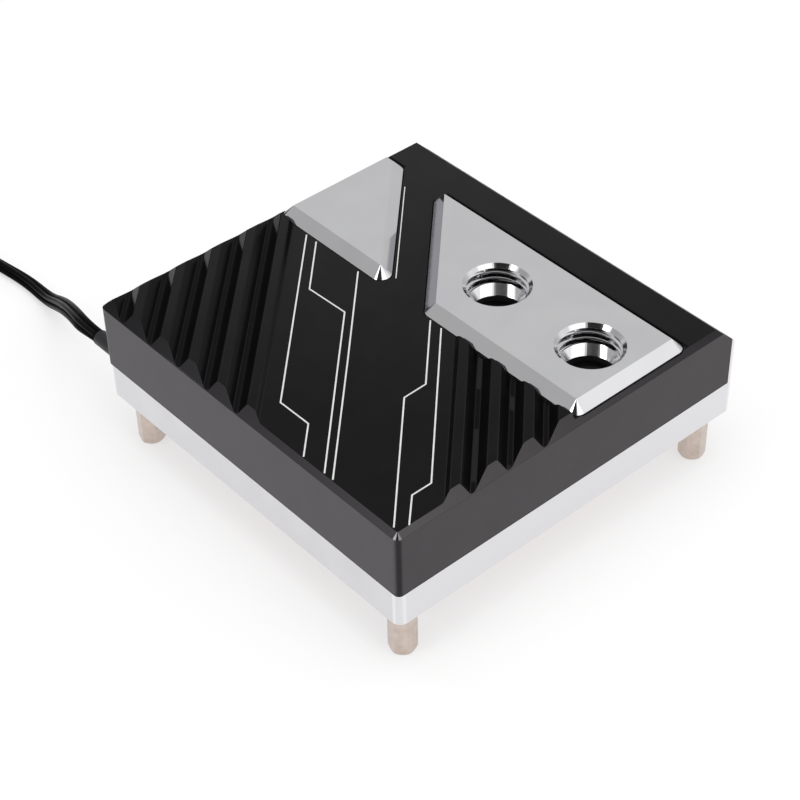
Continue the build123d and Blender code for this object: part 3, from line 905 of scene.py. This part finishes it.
def port_mouth(number, centre):
    """The countersink that cuts into one port's first turn of thread."""
    back_r = THREAD_MAJOR_R + THREAD_SINK
    outline = [
        (MOUTH_R, PLATE_SURFACE - MOUTH_LIP),
        (MOUTH_R - (PLATE_SURFACE - MOUTH_FOOT), MOUTH_FOOT),
        (back_r, MOUTH_FOOT - MOUTH_HEEL),
        (back_r, PLATE_SURFACE - MOUTH_SHOULDER),
    ]
    return turned(f"port_mouth_{number}", centre, outline, "port_plate")


def port_bore(number, centre):
    """The turned wall below one port's thread, with the fine rings that the tool leaves."""
    outline = [(THREAD_MAJOR_R, BORE_TOP + BORE_COLLAR)]
    pitch = (BORE_TOP - BORE_FOOT) / BORE_GROOVES
    for groove in range(BORE_GROOVES):
        z = BORE_TOP - groove * pitch
        outline += [(BORE_R, z), (BORE_R - BORE_GROOVE_DEPTH, z - pitch / 2)]
    outline += [(BORE_R + BORE_HEM, BORE_FOOT), (THREAD_MAJOR_R, BORE_FOOT)]
    return turned(f"port_bore_{number}", centre, outline, "port_plate")


def port_throat(number, centre):
    """The flow body's rim at the foot of one port's bore."""
    inside = BORE_R - BORE_GROOVE_DEPTH / 2
    outline = [
        (THREAD_MAJOR_R, BORE_FOOT),
        (inside, BORE_FOOT),
        (inside, THROAT_FOOT),
        (THREAD_MAJOR_R, THROAT_FOOT),
    ]
    return turned(f"port_throat_{number}", centre, outline, "flow_body")


for number, centre in enumerate(PORTS, start=1):
    thread_metal.on(port_mouth(number, centre), port_thread(number, centre))
    bore_metal.on(port_bore(number, centre))
    acetal.on(port_throat(number, centre))


# Light lines on the cover


def strip(line, width):
    """The two sides of a thin strip along a line, mitred at its bends."""
    line = [Vector(p) for p in line]
    left, right = [], []
    for number, point in enumerate(line):
        before = line[max(number - 1, 0)]
        after = line[min(number + 1, len(line) - 1)]
        into = (point - before).normalized() if number else (after - point).normalized()
        out = (after - point).normalized() if number < len(line) - 1 else into
        across = Vector((-(into + out).y, (into + out).x)).normalized()
        reach = width / 2 / max(across.dot(Vector((-into.y, into.x))), MITRE_LIMIT)
        left.append(point + across * reach)
        right.append(point - across * reach)
    return left, right


def light_lines():
    """The cover's light lines, each a thin strip that stands a hair above the cover."""
    points, faces = [], []
    for line, width in [(line, LINE_WIDTH) for line in LINES] + [(BADGE_LINE, BADGE_LINE_WIDTH)]:
        left, right = strip(line, width)
        count = len(line)
        low_left = len(points)
        low_right = low_left + count
        high_left = low_right + count
        high_right = high_left + count
        for z in (FLAT_TOP - LINE_DEPTH, FLAT_TOP + LINE_TOP):
            points += [(p.x, p.y, z) for p in left + right]
        for one, other in (
            (high_left, high_right),
            (low_left, low_right),
            (low_left, high_left),
            (low_right, high_right),
        ):
            faces += [(one + n, one + n + 1, other + n + 1, other + n) for n in range(count - 1)]
        for n in (0, count - 1):
            faces.append((low_left + n, low_right + n, high_right + n, high_left + n))
    return place_mesh("light_lines", points, faces)


line_paint.on(light_lines())


# Floor, light and camera


def floor():
    """A pale floor that keeps the block's shadow and looks white beyond it."""
    bpy.ops.mesh.primitive_plane_add(size=FLOOR_SIZE, location=(0, 0, 0))
    plane = bpy.context.object
    plane.name = "floor"
    material = bpy.data.materials.new("floor_white")
    material.use_nodes = True
    material.node_tree.nodes.clear()
    made = Nodes(material.node_tree)
    matt = made.node("ShaderNodeBsdfDiffuse")
    made.put(FLOOR_COLOUR, matt.inputs["Color"])
    rays = made.node("ShaderNodeLightPath").outputs
    seen = made.math("MAXIMUM", rays["Is Camera Ray"], rays["Is Glossy Ray"])
    seen = made.math("MAXIMUM", seen, rays["Is Transmission Ray"])
    glow = made.node("ShaderNodeEmission")
    made.put((1, 1, 1), glow.inputs["Color"])
    made.put(made.math("MULTIPLY", seen, FLOOR_GLOW), glow.inputs["Strength"])
    both = made.node("ShaderNodeAddShader")
    made.link(matt.outputs[0], both.inputs[0])
    made.link(glow.outputs[0], both.inputs[1])
    out = made.node("ShaderNodeOutputMaterial")
    made.link(both.outputs[0], out.inputs["Surface"])
    plane.data.materials.append(material)


def studio():
    """A soft studio all round, brighter and darker in a few directions, white to the camera."""
    world = bpy.data.worlds.new("studio")
    bpy.context.scene.world = world
    world.use_nodes = True
    world.node_tree.nodes.clear()
    made = Nodes(world.node_tree)
    direction = made.node("ShaderNodeTexCoord").outputs["Generated"]
    brightness = STUDIO_LEVEL
    for towards, level, full, end in STUDIO_PATCHES:
        dot = made.node("ShaderNodeVectorMath", operation="DOT_PRODUCT")
        dot.inputs[1].default_value = Vector(towards).normalized()
        made.link(direction, dot.inputs[0])
        share = made.node("ShaderNodeMapRange", interpolation_type="SMOOTHSTEP")
        share.inputs["From Min"].default_value = math.cos(math.radians(end))
        share.inputs["From Max"].default_value = math.cos(math.radians(full))
        made.link(dot.outputs["Value"], share.inputs["Value"])
        brightness = made.mix(share.outputs["Result"], brightness, level)
    rays = made.node("ShaderNodeLightPath").outputs
    background = made.node("ShaderNodeBackground")
    made.put((1, 1, 1), background.inputs["Color"])
    made.put(made.mix(rays["Is Camera Ray"], brightness, 1.0), background.inputs["Strength"])
    out = made.node("ShaderNodeOutputWorld")
    made.link(background.outputs[0], out.inputs["Surface"])


def lamp():
    """A soft square lamp that shines at the block's middle."""
    data = bpy.data.lights.new("key_lamp", "AREA")
    data.energy = LAMP_POWER
    data.size = LAMP_SIZE
    made = bpy.data.objects.new("key_lamp", data)
    made.location = LAMP_PLACE
    aim = Vector(LAMP_AIM) - Vector(LAMP_PLACE)
    made.rotation_euler = aim.to_track_quat("-Z", "Y").to_euler()
    made.visible_glossy = False
    bpy.context.collection.objects.link(made)


def camera():
    """The photograph's camera."""
    level = math.cos(CAMERA_PITCH)
    ahead = Vector(
        (math.cos(CAMERA_YAW) * level, math.sin(CAMERA_YAW) * level, -math.sin(CAMERA_PITCH))
    )
    right = Vector((math.sin(CAMERA_YAW), -math.cos(CAMERA_YAW), 0))
    down = ahead.cross(right)
    turned_right = math.cos(CAMERA_ROLL) * right + math.sin(CAMERA_ROLL) * down
    turned_down = -math.sin(CAMERA_ROLL) * right + math.cos(CAMERA_ROLL) * down
    axes = Matrix((turned_right, -turned_down, -ahead)).transposed().to_4x4()
    data = bpy.data.cameras.new("camera")
    data.sensor_width = CAMERA_SENSOR
    data.lens = CAMERA_LENS
    data.clip_start, data.clip_end = CAMERA_CLIP
    made = bpy.data.objects.new("camera", data)
    made.matrix_world = Matrix.Translation(Vector(CAMERA_PLACE) * MM) @ axes
    bpy.context.collection.objects.link(made)
    bpy.context.scene.camera = made


floor()
studio()
lamp()
camera()
bpy.context.scene.view_settings.view_transform = "Standard"

bpy.context.view_layer.update()
